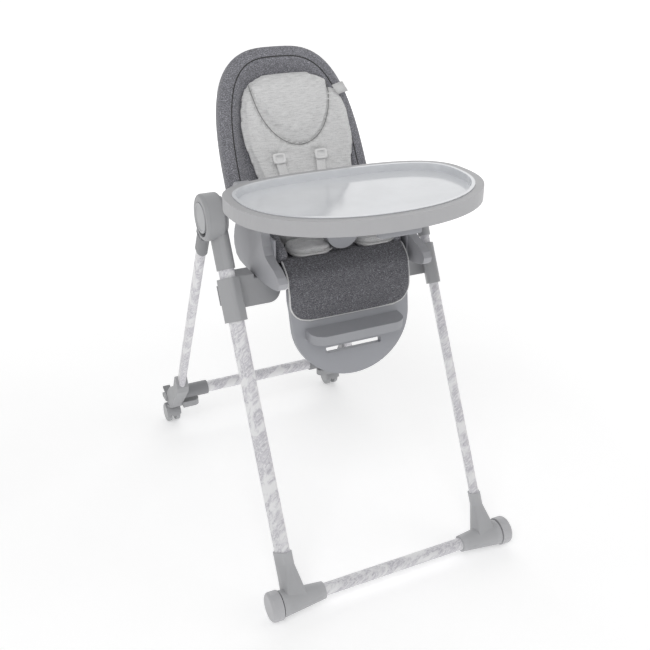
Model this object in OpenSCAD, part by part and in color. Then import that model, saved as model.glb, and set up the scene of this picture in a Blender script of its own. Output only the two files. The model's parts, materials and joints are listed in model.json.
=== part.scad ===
// Folding baby high chair: front and rear leg frames on two hubs, a seat that
// slides on the front legs, a reclining back, a leg rest and a removable tray.
// Millimetres. X to the viewer's right, -Y to the front, Z up, floor at Z = 0.

/* [Frame] */
// Distance between the axes of the two front legs
leg_span = 456; // [380:2:560]
// Height of the folding hubs above the floor
hub_z = 718; // [598:1:870]
// Fore and aft place of the folding hubs
hub_y = -48; // [-68:1:-28]
// Lean of the front legs from the vertical, degrees
front_lean = 26.6; // [22:0.1:29]
// Lean of the rear legs from the vertical, degrees
rear_lean = 29.06; // [25:0.01:32]
// Long side of a front leg tube
front_tube_a = 38; // [32:1:40]
// Short side of a front leg tube
front_tube_b = 19; // [16:1:21]
// Turn of a front leg tube about its own axis, degrees
front_toe = 25; // [0:1:30]
// Long side of a rear leg tube
rear_tube_a = 28; // [24:1:31]
// Short side of a rear leg tube
rear_tube_b = 17; // [14:1:19]
// Distance from the hub's axis back to the rear leg's axis
rear_set = 27; // [26:1:28]
// Wall of every tube
tube_wall = 1.6; // [1:0.1:2.5]
// Diameter of the front crossbar
front_bar_d = 26; // [22:1:30]
// Diameter of the rear crossbar
rear_bar_d = 30; // [24:1:34]

/* [Hubs] */
// Radius of a hub
hub_r = 47; // [46:1:52]
// Distance from a front leg's axis out to the hub's outer face
hub_out = 31; // [31:1:37]
// Radius of a release button
button_r = 31; // [25:1:33]
// Travel of a release button
button_travel = 4.5; // [3:0.5:4.5]
// Radius of a hub's pivot pin
hub_pin_r = 8; // [6:0.5:10]

/* [Wheels] */
// Radius of a front wheel
wheel_r = 30; // [28:1:36]
// Width of a front wheel
wheel_w = 24; // [20:1:30]
// Radius of a caster's twin wheels
caster_r = 25; // [22:1:27]
// Width of one twin wheel
caster_w = 12; // [9:1:14]
// Distance a caster's wheels trail behind its stem
caster_trail = 16; // [12:1:18]

/* [Seat] */
// Gap from a front leg's axis to the outer face of the side arm
seat_side_gap = 60; // [56:1:66]
// Height of the seat pad's top below the hubs
seat_drop = 78; // [72:1:84]
// Thickness of the seat pad
seat_pad_h = 39; // [34:1:44]
// Height of the armrests above the seat pad's top
arm_rise = 118; // [112:1:128]
// Length of a side arm from front to back
arm_len = 232; // [210:1:240]

/* [Back] */
// Height of the back from its hinge
back_h = 425; // [354:1:510]
// Lean of the back from the vertical, degrees
back_lean = 28; // [25:0.5:31]
// Height of the arch at the top of the back
arch_h = 335; // [279:1:352]
// Depth of the back's padded side wings
wing_d = 31; // [28:1:34]

/* [Tray] */
// Overhang of the tray past a front leg's axis, on each side
tray_over = 26; // [20:1:40]
// Depth of the tray in front of its widest line
tray_front = 190; // [165:1:220]
// Depth of the tray behind its widest line
tray_back = 130; // [115:1:133]
// Height of the tray's skirt
tray_h = 28; // [26:1:34]
// Width of the tray's rim
tray_rim = 20; // [16:1:26]

/* [Leg rest] */
// Length of the leg rest below its hinge
legrest_len = 214; // [190:1:257]
// Lean of the leg rest from the vertical, degrees
legrest_lean = 9.7; // [6:0.1:14]
// Thickness of the leg rest panel
legrest_t = 14; // [12:1:16]
// Distance the footrest stands out from the panel
footrest_d = 46; // [38:1:55]

/* [Fits] */
// Gap of a fixed joint between two pieces
fixed_gap = 0.05; // [0.02:0.01:0.1]
// Radial gap of a pin in its hole
run_gap = 0.06; // [0.03:0.01:0.1]
// Gap between pieces that slide on each other
slide_gap = 0.5; // [0.4:0.1:0.7]

/* [Hidden] */
$fn = 96;
arc_fn = 32;
leg_x = leg_span / 2;
// Hub, from its inner face to its outer face
hub_x0 = leg_x - 15;
drum_x0 = leg_x - 8;
hub_x1 = leg_x + hub_out;
hub_split_x = leg_x + 19;
hub_plate_r = hub_r - 9;
hub_cavity_r = hub_r - 8;
button_t = 5;
button_proud = 1.5;
button_dish = 0.7;
recess_drop = 3.5;
// Sleeves that hold the front legs
sleeve_wall = 3;
leg_top = 47;
hub_sleeve_end = 108;
// Rear socket
rear_x = leg_x + 7;
socket_wall = 3;
socket_top = 83;
socket_end = 130;
socket_pocket = 89;
disc_r = hub_cavity_r - 1;
disc_w = rear_tube_b + 2 * socket_wall;
fold_max = 42;
// Front foot
foot_set = 13.5;
wheel_y = hub_y - (hub_z - wheel_r) * tan(front_lean) - foot_set;
wheel_gap = 2;
wheel_x0 = leg_x + 30;
foot_in_x = leg_x - 65;
foot_r_in = front_bar_d / 2 + 4.5;
foot_r_out = wheel_r - 3;
axle_r = 5;
leg_bottom = (hub_z - wheel_r - 14) / cos(front_lean);
foot_top = (hub_z - 111) / cos(front_lean);
// Rear foot
rear_end_z = 160;
rear_len = (hub_z + rear_set * sin(rear_lean) - rear_end_z) / cos(rear_lean);
rear_end_y = hub_y + rear_set * cos(rear_lean) + rear_len * sin(rear_lean);
rear_bar_y = rear_end_y + 59;
rear_bar_z = 105;
rear_foot_w = 30;
caster_x = rear_x + 3;
stem_y = rear_bar_y + 32;
stem_r = 5;
foot_floor_z = 60;
caster_web = 10;
caster_axle_r = 4;
caster_y = stem_y + caster_trail;
pedal_y = stem_y + 27;
pedal_z = 74;
pedal_len = 27.3;
pedal_half = 10.5;
// Slider that carries the seat on a front leg
slider_s0 = 125.3;
slider_s1 = 212.5;
slider_a = front_tube_a + 9;
slider_b = front_tube_b + 9;
trigger_s0 = 136;
trigger_s1 = 176;
trigger_travel = 6;
height_travel = 240;
block_top_z = hub_z - 112;
block_low_z = hub_z - 175;
// Seat
seat_half = leg_x - seat_side_gap;
arm_t = 18;
pan_half = seat_half - arm_t;
seat_z = hub_z - seat_drop;
pan_z = seat_z - seat_pad_h - 4;
pan_wall = 4;
seat_front_y = hub_y - 110;
hinge_y = hub_y + 54;
hinge_z = seat_z - 28;
hinge_boss_r = 14;
pin_r = 5;
arm_top_z = seat_z + arm_rise;
arm_y0 = hub_y - 182;
arm_top_w = 28;
arm_strip_t = 14;
bracket_x = leg_x - 38;
pan_floor_y = hinge_y - 22;
// Back
back_half = seat_half - 3;
back_low = pan_half - 16;
flare_w = 55;
lining_inset = 32;
arch_power = 0.642;
// Tray
tray_z0 = arm_top_z + 7;
tray_z1 = tray_z0 + tray_h;
tray_y = hub_y - 160;
tray_floor_z = tray_z0 + 9;
tray_half = leg_x + tray_over;
front_power = 2.15;
rear_power = 3;
tray_travel = 60;
// Leg rest
legrest_y = seat_front_y - 8;
legrest_z = pan_z + 9;
legrest_half = pan_half - 16;
legrest_pin_r = 4;
panel_front = 18;
slot_s = 154;
slot_h = 12;
slot_half = 63;
footrest_s = 100;
footrest_t = 20;
footrest_half = 105;
footrest_slope = 3;
tab_x = [50, 80];
tab_s = footrest_s + 7;
tab_t = 6;
flap_len = 82;
flap_half = pan_half - 17;
flap_t = 4.5;

// ---- Places and profiles ----

// Draws a right-hand piece on the left, which is -X
module left() { mirror([1, 0, 0]) children(); }

// Draws a right-hand piece on both sides
module both() {
  children();
  left() children();
}

// Front leg frame: origin on the hub's axis, -Z down the leg
module on_front_leg() {
  translate([leg_x, hub_y, hub_z]) rotate([-front_lean, 0, 0]) rotate([0, 0, -front_toe]) children();
}

// Rear leg frame: origin on the hub's axis, -Z down the leg
module on_rear_leg() {
  translate([rear_x, hub_y, hub_z]) rotate([rear_lean, 0, 0]) children();
}

// Back frame: origin on the recline hinge, Z up the back
module on_back() {
  translate([0, hinge_y, hinge_z]) rotate([-back_lean, 0, 0]) children();
}

// Leg rest frame: origin on its hinge, -Z down the panel
module on_legrest() {
  translate([0, legrest_y, legrest_z]) rotate([-legrest_lean, 0, 0]) children();
}

// Oval with its long side along Y
module oval(a, b) {
  square([b, a - b], center = true);
  for (e = [-1, 1]) translate([0, e * (a - b) / 2]) circle(d = b);
}

// Rectangle with round corners, centred
module round_rect(w, d, r) {
  square([w - 2 * r, d], center = true);
  square([w, d - 2 * r], center = true);
  for (u = [-1, 1]) for (v = [-1, 1]) translate([u * (w / 2 - r), v * (d / 2 - r)]) circle(r);
}

// Pulls a profile down a leg from distance s0 to s1
module along(s0, s1) { translate([0, 0, -s1]) linear_extrude(s1 - s0) children(); }

// Cylinder along X
module x_cylinder(x0, x1, y, z, r) {
  translate([x0, y, z]) rotate([0, 90, 0]) cylinder(h = x1 - x0, r = r);
}

// Extrudes a side profile drawn in Y, Z
module side_slab(x0, x1) { translate([x0, 0, 0]) rotate([90, 0, 90]) linear_extrude(x1 - x0) children(); }

// Extrudes a front profile drawn in X, Z
module front_slab(y0, y1) { translate([0, y1, 0]) rotate([90, 0, 0]) linear_extrude(y1 - y0) children(); }

// Disc along X with its two rims rounded; a radius of 0 leaves a rim sharp
module x_disc(x0, x1, y, z, r, round0, round1) {
  h = x1 - x0;
  translate([x0, y, z]) rotate([0, 90, 0]) rotate_extrude() {
    square([r - max(round0, round1), h]);
    translate([0, round0]) square([r, h - round0 - round1]);
    if (round0 > 0) translate([r - round0, round0]) intersection() {
      circle(round0);
      translate([0, -round0]) square(round0);
    }
    if (round1 > 0) translate([r - round1, h - round1]) intersection() {
      circle(round1);
      square(round1);
    }
    if (round0 > 0) square([r - round0, round0]);
    if (round1 > 0) translate([0, h - round1]) square([r - round1, round1]);
  }
}

// ---- Front frame ----

module front_leg() {
  color("gainsboro") on_front_leg() difference() {
    along(leg_top, leg_bottom) oval(front_tube_a, front_tube_b);
    along(leg_top - 1, leg_bottom + 1) oval(front_tube_a - 2 * tube_wall, front_tube_b - 2 * tube_wall);
  }
}

module front_crossbar() {
  half = foot_in_x + 26;
  color("gainsboro") difference() {
    x_cylinder(-half, half, wheel_y, wheel_r, front_bar_d / 2);
    x_cylinder(-half - 1, half + 1, wheel_y, wheel_r, front_bar_d / 2 - tube_wall);
  }
}

module front_foot() {
  web_x0 = leg_x - 24;
  web_x1 = leg_x + 18;
  color("darkgray") difference() {
    union() {
      // Barrel that widens from the crossbar to the wheel
      translate([foot_in_x, wheel_y, wheel_r]) rotate([0, 90, 0])
        cylinder(h = wheel_x0 - wheel_gap - foot_in_x, r1 = foot_r_in, r2 = foot_r_out);
      on_front_leg() along(foot_top, leg_bottom + 4)
        oval(front_tube_a + 2 * sleeve_wall, front_tube_b + 2 * sleeve_wall);
      // Web that blends the leg's sleeve into the barrel
      hull() {
        on_front_leg() along(foot_top + 24, leg_bottom)
          oval(front_tube_a + 2 * sleeve_wall - 1.6, front_tube_b + 2 * sleeve_wall - 1.6, $fn = arc_fn);
        translate([web_x0, wheel_y, wheel_r]) rotate([0, 90, 0])
          cylinder(h = web_x1 - web_x0, r = foot_r_in + 4, $fn = arc_fn);
      }
    }
    on_front_leg() along(foot_top - 1, leg_bottom)
      oval(front_tube_a + 2 * fixed_gap, front_tube_b + 2 * fixed_gap);
    x_cylinder(foot_in_x - 1, foot_in_x + 26, wheel_y, wheel_r, front_bar_d / 2 + fixed_gap);
    x_cylinder(foot_in_x + 50, wheel_x0, wheel_y, wheel_r, axle_r + fixed_gap);
  }
}

module front_axle() {
  color("silver") x_cylinder(foot_in_x + 50.5, wheel_x0 + wheel_w - 8, wheel_y, wheel_r, axle_r);
}

module front_wheel() {
  color("darkgray") difference() {
    x_disc(wheel_x0, wheel_x0 + wheel_w, wheel_y, wheel_r, wheel_r, 2, 7);
    x_cylinder(wheel_x0 - 1, wheel_x0 + wheel_w - 7.5, wheel_y, wheel_r, axle_r + run_gap);
    // Shallow ring in the inner face keeps the rim light
    x_cylinder(wheel_x0 - 1, wheel_x0 + 1, wheel_y, wheel_r, wheel_r - 6);
  }
}

// ---- Hubs ----

// Space that the rear socket's arm sweeps inside the hub
module sweep_wedge() {
  far = hub_r + 25;
  a0 = rear_lean - fold_max + 13;
  a1 = rear_lean + 70;
  side_slab(rear_x - disc_w / 2 - slide_gap, hub_split_x + 1)
    translate([hub_y, hub_z]) polygon([
      [0, 0],
      for (k = [0:4]) let (a = a0 + (a1 - a0) * k / 4) [far * sin(a), -far * cos(a)]
    ]);
}

module hub_housing() {
  color("darkgray") difference() {
    union() {
      x_disc(drum_x0, hub_split_x, hub_y, hub_z, hub_r, 6, 0);
      x_disc(hub_x0, drum_x0 + 1, hub_y, hub_z, hub_plate_r, 2, 0);
      intersection() {
        on_front_leg() along(10, hub_sleeve_end)
          oval(front_tube_a + 2 * sleeve_wall, front_tube_b + 2 * sleeve_wall);
        translate([hub_x0, hub_y - 300, hub_z - 300]) cube([hub_split_x - hub_x0, 600, 600]);
      }
    }
    x_cylinder(rear_x - disc_w / 2 - slide_gap, hub_split_x + 1, hub_y, hub_z, hub_cavity_r);
    sweep_wedge();
    on_front_leg() along(leg_top, hub_sleeve_end + 1)
      oval(front_tube_a + 2 * fixed_gap, front_tube_b + 2 * fixed_gap);
    x_cylinder(hub_x0 + 5, hub_split_x, hub_y, hub_z, hub_pin_r + fixed_gap);
    hub_screw_places() x_cylinder(hub_x0 - 1, hub_x0 + 8, 0, 30, 2.5 + fixed_gap);
  }
}

module hub_screw_places() {
  for (a = [30, 150, 270]) translate([0, hub_y, hub_z]) rotate([a, 0, 0]) children();
}

module hub_screws() { color("silver") hub_screw_places() x_cylinder(hub_x0 - 0.6, hub_x0 + 8, 0, 30, 2.5); }

module hub_cover() {
  recess_r = button_r + recess_drop + 0.5;
  color("darkgray") difference() {
    x_disc(hub_split_x, hub_x1, hub_y, hub_z, hub_r, 0, 7);
    x_cylinder(hub_x1 - button_t - button_travel + 0.5, hub_x1 + 1, hub_y, hub_z - recess_drop, recess_r);
    x_cylinder(hub_split_x - 1, hub_split_x + 1.5, hub_y, hub_z, hub_pin_r + fixed_gap);
  }
}

module hub_pin() {
  color("silver") x_cylinder(hub_x0 + 5.5, hub_split_x + 1, hub_y, hub_z, hub_pin_r);
}

module hub_button() {
  x1 = hub_x1 + button_proud;
  color("silver") difference() {
    x_disc(x1 - button_t, x1, hub_y, hub_z, button_r, 0, 1.5);
    // Shallow finger dish
    x_cylinder(x1 - button_dish, x1 + 1, hub_y, hub_z, button_r - 5);
  }
}

// ---- Rear frame ----

module rear_socket() {
  y0 = rear_set - rear_tube_a / 2 + 1;
  y1 = rear_set + rear_tube_a / 2 + socket_wall;
  arm_w = y1 - y0 - 2;
  color("gray") difference() {
    union() {
      x_cylinder(rear_x - disc_w / 2, rear_x + disc_w / 2, hub_y, hub_z, disc_r);
      on_rear_leg() translate([1 - disc_w / 2, y0, -socket_top - 4]) cube([disc_w - 2, arm_w, socket_top - 18]);
      on_rear_leg() translate([0, rear_set, 0]) along(socket_top, socket_end)
        oval(rear_tube_a + 2 * socket_wall, rear_tube_b + 2 * socket_wall);
    }
    x_cylinder(rear_x - disc_w, rear_x + disc_w, hub_y, hub_z, hub_pin_r + run_gap);
    on_rear_leg() translate([0, rear_set, 0]) along(socket_pocket, socket_end + 1)
      oval(rear_tube_a + 2 * fixed_gap, rear_tube_b + 2 * fixed_gap);
  }
}

module rear_leg() {
  color("gainsboro") on_rear_leg() translate([0, rear_set, 0]) difference() {
    along(socket_pocket, rear_len) oval(rear_tube_a, rear_tube_b);
    along(socket_pocket - 1, rear_len + 1) oval(rear_tube_a - 2 * tube_wall, rear_tube_b - 2 * tube_wall);
  }
}

module rear_crossbar() {
  half = rear_x - rear_foot_w / 2 + 12;
  color("gainsboro") difference() {
    x_cylinder(-half, half, rear_bar_y, rear_bar_z, rear_bar_d / 2);
    x_cylinder(-half - 1, half + 1, rear_bar_y, rear_bar_z, rear_bar_d / 2 - tube_wall);
  }
}

module rear_bar_sleeve() {
  x1 = rear_x - rear_foot_w / 2;
  color("dimgray") difference() {
    x_cylinder(x1 - 70, x1, rear_bar_y, rear_bar_z, rear_bar_d / 2 + 3.5);
    x_cylinder(x1 - 71, x1 + 1, rear_bar_y, rear_bar_z, rear_bar_d / 2 + fixed_gap);
  }
}

module rear_foot() {
  x0 = rear_x - rear_foot_w / 2;
  x1 = rear_x + rear_foot_w / 2;
  ear = 6;
  color("darkgray") difference() {
    union() {
      // Body from the leg's end over the crossbar to the caster
      side_slab(x0, x1) polygon([
        [rear_end_y - 19, rear_end_z + 2],
        [rear_end_y - 7, rear_end_z + 28],
        [rear_end_y + 1, rear_end_z + 28],
        [rear_end_y + 20, rear_end_z - 8],
        [rear_bar_y + 4, rear_bar_z + 20],
        [stem_y - 6, rear_bar_z - 2],
        [stem_y + 10, foot_floor_z + 20],
        [stem_y + 10, foot_floor_z],
        [rear_bar_y + 6, foot_floor_z],
        [rear_bar_y - 15, rear_bar_z - 20],
        [rear_end_y + 2, rear_end_z - 30],
        [rear_end_y - 14, rear_end_z - 14]
      ]);
      // Tongue that the folded chair stands on
      translate([x0 - 14, rear_bar_y - 2, foot_floor_z + 6]) linear_extrude(16) {
        square([30, 30], center = true);
        translate([-15, 0]) circle(15);
      }
      // Ears for the brake pedal's pivot
      for (x = [caster_x - pedal_half - 0.5 - ear, caster_x + pedal_half + 0.5])
        side_slab(x, x + ear) {
          translate([pedal_y, pedal_z]) circle(7);
          translate([stem_y + 2, pedal_z - 7]) square([pedal_y - stem_y - 2, 14]);
        }
    }
    on_rear_leg() translate([0, rear_set, 0]) along(socket_pocket, rear_len)
      oval(rear_tube_a + 2 * fixed_gap, rear_tube_b + 2 * fixed_gap);
    x_cylinder(x0 - 1, x0 + 12, rear_bar_y, rear_bar_z, rear_bar_d / 2 + fixed_gap);
    translate([caster_x, stem_y, foot_floor_z - 1]) cylinder(h = 31, r = stem_r + run_gap);
    x_cylinder(caster_x - pedal_half - 8, caster_x + pedal_half + 8, pedal_y, pedal_z, 3 + run_gap);
  }
}

module brake_pedal() {
  half = pedal_half + 4;
  color("dimgray") {
    x_cylinder(caster_x - pedal_half, caster_x + pedal_half, pedal_y, pedal_z, 6.5);
    x_cylinder(caster_x - half, caster_x + half, pedal_y, pedal_z, 3);
    translate([caster_x - pedal_half + 1, pedal_y, pedal_z]) rotate([18, 0, 0])
      translate([0, 1, -2.5]) cube([2 * pedal_half - 2, pedal_len, 6]);
  }
}

module caster_fork() {
  top = foot_floor_z - 1.5;
  wheels_half = caster_web / 2 + caster_w + 1.5;
  hood_in = caster_r + 2.5;
  hood_out = caster_r + 5.5;
  color("darkgray") difference() {
    union() {
      translate([caster_x, stem_y, top - 1]) cylinder(h = 30, r = stem_r);
      translate([caster_x, stem_y, top - 6]) cylinder(h = 6, r = 15);
      // Web between the wheels
      side_slab(caster_x - caster_web / 2, caster_x + caster_web / 2) {
        translate([caster_y, caster_r]) circle(12);
        intersection() {
          translate([caster_y, caster_r]) circle(hood_out);
          translate([caster_y - 45, caster_r]) square([45, 45]);
        }
      }
      // Hood over the front of the wheels
      side_slab(caster_x - wheels_half, caster_x + wheels_half) intersection() {
        difference() {
          translate([caster_y, caster_r]) circle(hood_out);
          translate([caster_y, caster_r]) circle(hood_in);
        }
        translate([caster_y - 45, caster_r + 4]) square([45, 45]);
      }
    }
    x_cylinder(caster_x - 20, caster_x + 20, caster_y, caster_r, caster_axle_r + fixed_gap);
  }
}

module caster_axle() {
  half = caster_web / 2 + caster_w - 2;
  color("silver") x_cylinder(caster_x - half, caster_x + half, caster_y, caster_r, caster_axle_r);
}

module caster_wheels() {
  x0 = caster_web / 2 + slide_gap;
  color("silver") for (side = [-1, 1]) translate([caster_x, 0, 0]) scale([side, 1, 1]) difference() {
    x_disc(x0, x0 + caster_w, caster_y, caster_r, caster_r, 1.5, 4);
    x_cylinder(x0 - 1, x0 + caster_w - 2.2, caster_y, caster_r, caster_axle_r + run_gap);
  }
}

// ---- Seat carriage ----

module slider() {
  color("darkgray") difference() {
    union() {
      on_front_leg() along(slider_s0, slider_s1) round_rect(slider_b, slider_a, 8);
      // Block that reaches in to the seat
      side_slab(bracket_x, leg_x - 4) slider_block_outline();
    }
    on_front_leg() along(slider_s0 - 40, slider_s1 + 40)
      oval(front_tube_a + 2 * slide_gap, front_tube_b + 2 * slide_gap);
    // Groove for the trigger's tongue
    on_front_leg() translate([-3.5, front_tube_a / 2 - 1, -trigger_s1 - 1])
      cube([7, 12, trigger_s1 - trigger_s0 + trigger_travel + 2]);
  }
}

// Outline of the block, seen from the side
module slider_block_outline() {
  polygon([
    [hub_y - 57, block_top_z],
    [hub_y - 70, block_low_z],
    [hub_y - 28, block_low_z],
    [hub_y - 18, block_top_z]
  ]);
}

module slider_trigger() {
  y0 = slider_a / 2 + slide_gap;
  color("gray") on_front_leg() {
    translate([0, 0, -trigger_s1]) linear_extrude(trigger_s1 - trigger_s0) {
      translate([0, y0 + 3]) round_rect(17, 6, 2.5);
    }
    translate([-3, front_tube_a / 2 + slide_gap + 0.4, -trigger_s1]) 
      cube([6, y0 + 3 - front_tube_a / 2 - slide_gap - 0.4, trigger_s1 - trigger_s0]);
  }
}

// Piece that carries the pan from the slider's block, with a round lower corner
module seat_bracket() {
  x_in = pan_half - 30;
  x_out = seat_half + 6;
  r = 26;
  z0 = block_low_z;
  color("darkgray") intersection() {
    side_slab(x_in, bracket_x) slider_block_outline();
    front_slab(hub_y - 200, hub_y + 200) {
      translate([x_in + r, z0]) square([bracket_x - x_in - r, pan_z - z0]);
      translate([x_in, z0 + r]) square([bracket_x - x_in, pan_z - z0 - r]);
      intersection() {
        translate([x_in + r, z0 + r]) circle(r);
        translate([x_in, z0]) square(r);
      }
      translate([x_out, z0]) square([bracket_x - x_out, block_top_z - z0]);
    }
  }
}

// Side profile of the pan's cheeks
module cheek_outline() {
  top = seat_z + 50;
  translate([seat_front_y, pan_z]) square([pan_floor_y - seat_front_y, top - pan_z]);
  translate([pan_floor_y - 1, pan_z]) square([hinge_y - pan_floor_y + 1, hinge_z - pan_z]);
  translate([hinge_y, hinge_z]) circle(hinge_boss_r);
}

module seat_pan() {
  ear_x0 = legrest_half - 12;
  color("darkgray") difference() {
    union() {
      translate([-pan_half, seat_front_y, pan_z]) cube([2 * pan_half, pan_floor_y - seat_front_y, 4]);
      both() {
        side_slab(pan_half - pan_wall, pan_half) cheek_outline();
        x_cylinder(pan_half - 29, pan_half, hinge_y, hinge_z, hinge_boss_r);
        // Ears for the leg rest's hinge
        side_slab(ear_x0, ear_x0 + 12) {
          translate([legrest_y, legrest_z]) circle(9);
          translate([legrest_y, legrest_z - 9]) square([seat_front_y - legrest_y, 13]);
          translate([legrest_y, pan_z]) square([seat_front_y - legrest_y + 6, 4]);
        }
      }
    }
    both() {
      x_cylinder(pan_half - 32, pan_half - 2, hinge_y, hinge_z, pin_r + fixed_gap);
      x_cylinder(ear_x0 - 1, ear_x0 + 10, legrest_y, legrest_z, legrest_pin_r + fixed_gap);
    }
  }
}

module seat_pin_pair() {
  color("silver") {
    x_cylinder(pan_half - 44, pan_half - 2.5, hinge_y, hinge_z, pin_r);
    x_cylinder(legrest_half - 27, legrest_half - 2.5, legrest_y, legrest_z, legrest_pin_r);
  }
}

// Outline of a side arm: a J with its foot reaching forward beside the thigh
module side_arm_outline() {
  translate([hub_y, 0]) polygon([
    [-88, arm_top_z - 1],
    [-88, arm_top_z - 44],
    [-91, arm_top_z - 62],
    [-97, arm_top_z - 82],
    [-107, pan_z + 63],
    [-124, pan_z + 55],
    [-150, pan_z + 48],
    [-168, pan_z + 39],
    [-176, pan_z + 29],
    [-174, pan_z + 19],
    [-164, pan_z + 12],
    [-140, pan_z + 7],
    [-101, pan_z + 3],
    [0, pan_z + 1.5],
    [38, pan_z + 4],
    [57, pan_z + 12],
    [67, pan_z + 30],
    [68, pan_z + 46],
    [62, pan_z + 66],
    [52, pan_z + 84],
    [48, pan_z + 104],
    [50, arm_top_z - 10],
    [20, arm_top_z - 1]
  ]);
}

// Side arm, a shell that opens inwards, with the armrest on top
module side_arm() {
  x_mid = pan_half + arm_t / 2;
  knob_r = 24;
  color("gray") difference() {
    union() {
      side_slab(pan_half, seat_half) side_arm_outline();
      // Strip that the tray's channels slide on
      translate([x_mid - arm_top_w / 2, arm_y0 + 8, arm_top_z - arm_strip_t])
        cube([arm_top_w, arm_len - 46, arm_strip_t]);
      side_slab(x_mid - arm_top_w / 2, x_mid + arm_top_w / 2)
        translate([arm_y0 + arm_len - knob_r, arm_top_z - 10]) circle(knob_r);
    }
    translate([pan_half - 1, hub_y - 78, pan_z + 26])
      cube([arm_t - 4, 102, arm_top_z - pan_z - 56]);
  }
}

// ---- Soft parts and harness on the seat ----

module seat_pad() {
  // Clear of the ears that carry the leg rest's hinge
  pad_front = seat_front_y + 2;
  depth = hinge_y - 32 - pad_front;
  color("slategray") translate([0, pad_front + depth / 2, pan_z + 4.2])
    linear_extrude(seat_z - pan_z - 4.2) round_rect(2 * (pan_half - pan_wall - 3), depth, 12);
}

module thigh_pad() {
  x0 = 42;
  x1 = pan_half - 25;
  color("lightgray") translate([(x0 + x1) / 2, seat_front_y + 42, seat_z])
    linear_extrude(28) round_rect(x1 - x0, 66, 18);
}

module buckle() {
  color("gainsboro") difference() {
    translate([0, hub_y - 12, seat_z]) linear_extrude(26) round_rect(48, 26, 8);
    translate([0, hub_y - 12, seat_z + 18]) cylinder(h = 9, r = 9 + slide_gap);
  }
}

module buckle_button() {
  color("gray") translate([0, hub_y - 12, seat_z + 21.5]) cylinder(h = 6, r = 9);
}

module waist_strap() {
  x1 = pan_half - pan_wall - 4;
  color("whitesmoke") translate([24.3, hub_y - 24, seat_z]) cube([x1 - 24.3, 24, 1.6]);
}

// ---- Back ----

// Right half of the back's outline, drawn inset, from the bottom to the top
function back_half_outline(inset, w0) =
  let (arch0 = back_h - arch_h, hw = back_half - inset, low = back_low - inset)
  concat(
    [[low, w0]],
    [for (k = [0:5]) let (u = k / 5) [low + (hw - low) * u * u * (3 - 2 * u), flare_w + (arch0 - flare_w) * u]],
    [for (t = [6:6:90]) [hw * pow(cos(t), arch_power), arch0 + (arch_h - inset) * pow(sin(t), arch_power)]]
  );

function mirrored_outline(half) = concat(half, [for (k = [len(half) - 2:-1:0]) [-half[k][0], half[k][1]]]);

module back_outline(inset, w0) { polygon(mirrored_outline(back_half_outline(inset, w0))); }

// Slab of the back from v0 to v1 forward of the hinge
module back_slab(v0, v1) { rotate([90, 0, 0]) translate([0, 0, v0]) linear_extrude(v1 - v0) children(); }

module backrest_shell() {
  lug_x1 = pan_half - 30;
  color("gray") on_back() difference() {
    union() {
      back_slab(-38, -4) back_outline(14, 16);
      both() {
        x_cylinder(lug_x1 - 12, lug_x1, 0, 0, 12);
        translate([lug_x1 - 12, 4, 0]) cube([12, 16, 40]);
      }
      // Housing of the recline handle
      translate([-75, 38, back_h - 112]) cube([150, 15, 66]);
    }
    back_slab(-34, 0) back_outline(18, 40);
    both() x_cylinder(lug_x1 - 13, lug_x1 + 1, 0, 0, pin_r + run_gap);
    translate([-62, 39, back_h - 104]) cube([124, 16, 50]);
  }
}

module backrest_pad() {
  color("dimgray") on_back() difference() {
    back_slab(-3.7, wing_d) back_outline(0, 22);
    back_slab(6, wing_d + 1) back_outline(lining_inset, 22 - 40);
  }
}

// Right half of the reducer's outline, from its bottom to its top
function reducer_half(w0) =
  let (hw = 0.757 * back_half, top = back_h - 57, bend = 0.506 * back_h)
  concat(
    [[0.606 * back_half, w0], [0.63 * back_half, w0 + 45], [0.69 * back_half, w0 + 100]],
    [[0.735 * back_half, bend - 26]],
    [for (t = [0:7.5:90]) [hw * pow(cos(t), 0.667), bend + (top - bend) * pow(sin(t), 0.667)]]
  );

module reducer_cushion() {
  color("lightgray") on_back() back_slab(6.3, wing_d - 5)
    polygon(mirrored_outline(reducer_half(58)));
}

module shoulder_strap() {
  v = wing_d - 5;
  color("whitesmoke") on_back() translate([38, -v - 1.6, 74]) cube([20, 1.6, 122]);
}

module strap_adjuster() {
  v = wing_d - 5 + 1.6;
  color("white") on_back() translate([48, -v, 180]) rotate([90, 0, 0]) linear_extrude(6) round_rect(30, 26, 4);
}

module recline_handle() {
  color("dimgray") on_back() translate([0, 52, back_h - 95]) rotate([90, 0, 0])
    linear_extrude(12.5) round_rect(122, 16, 5);
}

// ---- Leg rest ----

// Right half of the panel's outline, from the hinge down
function panel_half() =
  let (side = legrest_half, low = legrest_half - 3, bend = 0.44 * legrest_len)
  concat(
    [[side - 12.5, 6], [side - 12.5, -12], [side - 1, -17], [side, -40], [low + 1, -60]],
    [for (t = [0:6:90]) [low * cos(t), -bend - (legrest_len - bend) * sin(t)]]
  );

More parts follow.
